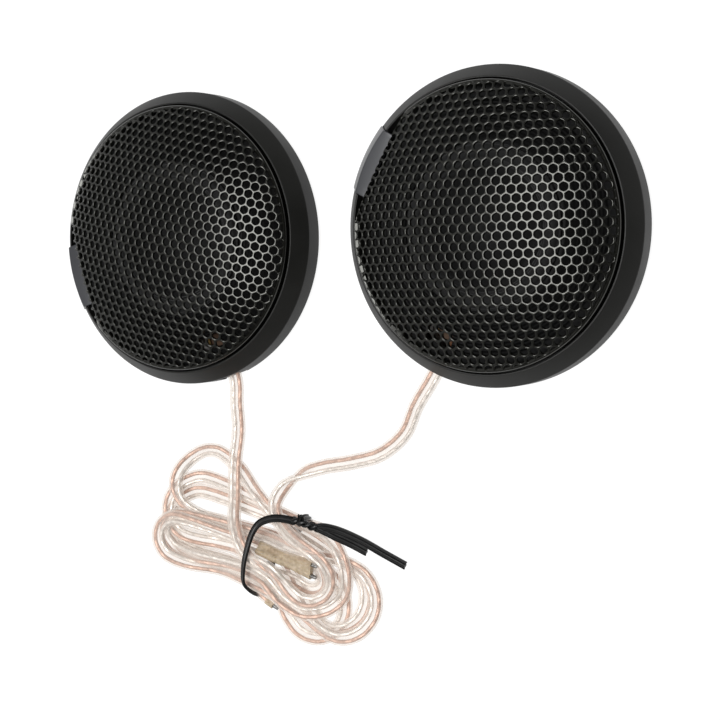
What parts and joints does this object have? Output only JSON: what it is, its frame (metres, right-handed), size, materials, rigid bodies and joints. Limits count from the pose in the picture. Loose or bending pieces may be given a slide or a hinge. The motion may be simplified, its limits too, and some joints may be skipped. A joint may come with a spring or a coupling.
{
  "type": "car tweeter",
  "caption": "Round surface-mount car dome tweeters with domed perforated steel grilles, sold as a pair with clear twin leads wound in a tied hank.",
  "frame": {"origin": "on the surface that the adhesive pads rest on, midway between the two tweeters' axes", "axes": "+X from the left tweeter to the right one, +Y away from the leads, +Z out of the grilles along both tweeters' axes"},
  "size_m": [0.1079, 0.0926, 0.0121],
  "materials": {
    "ring_plastic": "satin black moulded plastic",
    "badge_plastic": "smooth satin dark grey plastic",
    "grille_steel": "semi-gloss black painted perforated steel",
    "inner_plastic": "matt black plastic",
    "diaphragm_film": "satin dark grey formed film",
    "surround_rubber": "matt black rubber",
    "former_paper": "brown kraft paper",
    "coil_copper": "enamelled copper wire",
    "plated_steel": "zinc plated steel",
    "magnet_metal": "nickel plated magnet",
    "board_laminate": "brown phenolic laminate",
    "terminal_brass": "tin plated brass",
    "clear_cord": "clear flexible vinyl over stranded cores",
    "capacitor_case": "dipped film capacitor",
    "pad_foam": "closed cell foam",
    "screw_steel": "plated steel",
    "grommet_rubber": "matt black rubber",
    "tie_vinyl": "ribbed black vinyl over wire"
  },
  "bodies": {
    "housings": {"left_bezel_ring": "ring_plastic", "left_badge_plate": "badge_plastic", "left_grille": "grille_steel", "left_faceplate": "inner_plastic", "left_pole_plate": "plated_steel", "left_magnet": "magnet_metal", "left_yoke_cup": "plated_steel", "left_terminal_board": "board_laminate", "left_positive_terminal": "terminal_brass", "left_negative_terminal": "terminal_brass", "left_positive_inner_lead": "clear_cord", "left_negative_inner_lead": "clear_cord", "left_high_pass_capacitor": "capacitor_case", "left_back_cover": "inner_plastic", "left_adhesive_pad": "pad_foam", "left_cover_screw_1": "screw_steel", "left_cover_screw_2": "screw_steel", "left_cover_screw_3": "screw_steel", "left_lead_grommet": "grommet_rubber", "right_bezel_ring": "ring_plastic", "right_badge_plate": "badge_plastic", "right_grille": "grille_steel", "right_faceplate": "inner_plastic", "right_pole_plate": "plated_steel", "right_magnet": "magnet_metal", "right_yoke_cup": "plated_steel", "right_terminal_board": "board_laminate", "right_positive_terminal": "terminal_brass", "right_negative_terminal": "terminal_brass", "right_positive_inner_lead": "clear_cord", "right_negative_inner_lead": "clear_cord", "right_high_pass_capacitor": "capacitor_case", "right_back_cover": "inner_plastic", "right_adhesive_pad": "pad_foam", "right_cover_screw_1": "screw_steel", "right_cover_screw_2": "screw_steel", "right_cover_screw_3": "screw_steel", "right_lead_grommet": "grommet_rubber", "left_lead": "clear_cord", "right_lead": "clear_cord", "lead_hank": "clear_cord", "twist_tie": "tie_vinyl"},
    "left_dome": {"left_dome_diaphragm": "diaphragm_film", "left_surround": "surround_rubber", "left_voice_coil_former": "former_paper", "left_voice_coil": "coil_copper"},
    "right_dome": {"right_dome_diaphragm": "diaphragm_film", "right_surround": "surround_rubber", "right_voice_coil_former": "former_paper", "right_voice_coil": "coil_copper"}
  },
  "joints": [
    {"name": "left_dome_travel", "type": "slide", "parent": "housings", "child": "left_dome", "axis": [0, 0, 1], "range_m": [-0.0003, 0.0003], "stiffness_N_per_m": 2000, "deforming": ["left_surround"]},
    {"name": "right_dome_travel", "type": "slide", "parent": "housings", "child": "right_dome", "axis": [0, 0, 1], "range_m": [-0.0003, 0.0003], "stiffness_N_per_m": 2000, "deforming": ["right_surround"]}
  ]
}
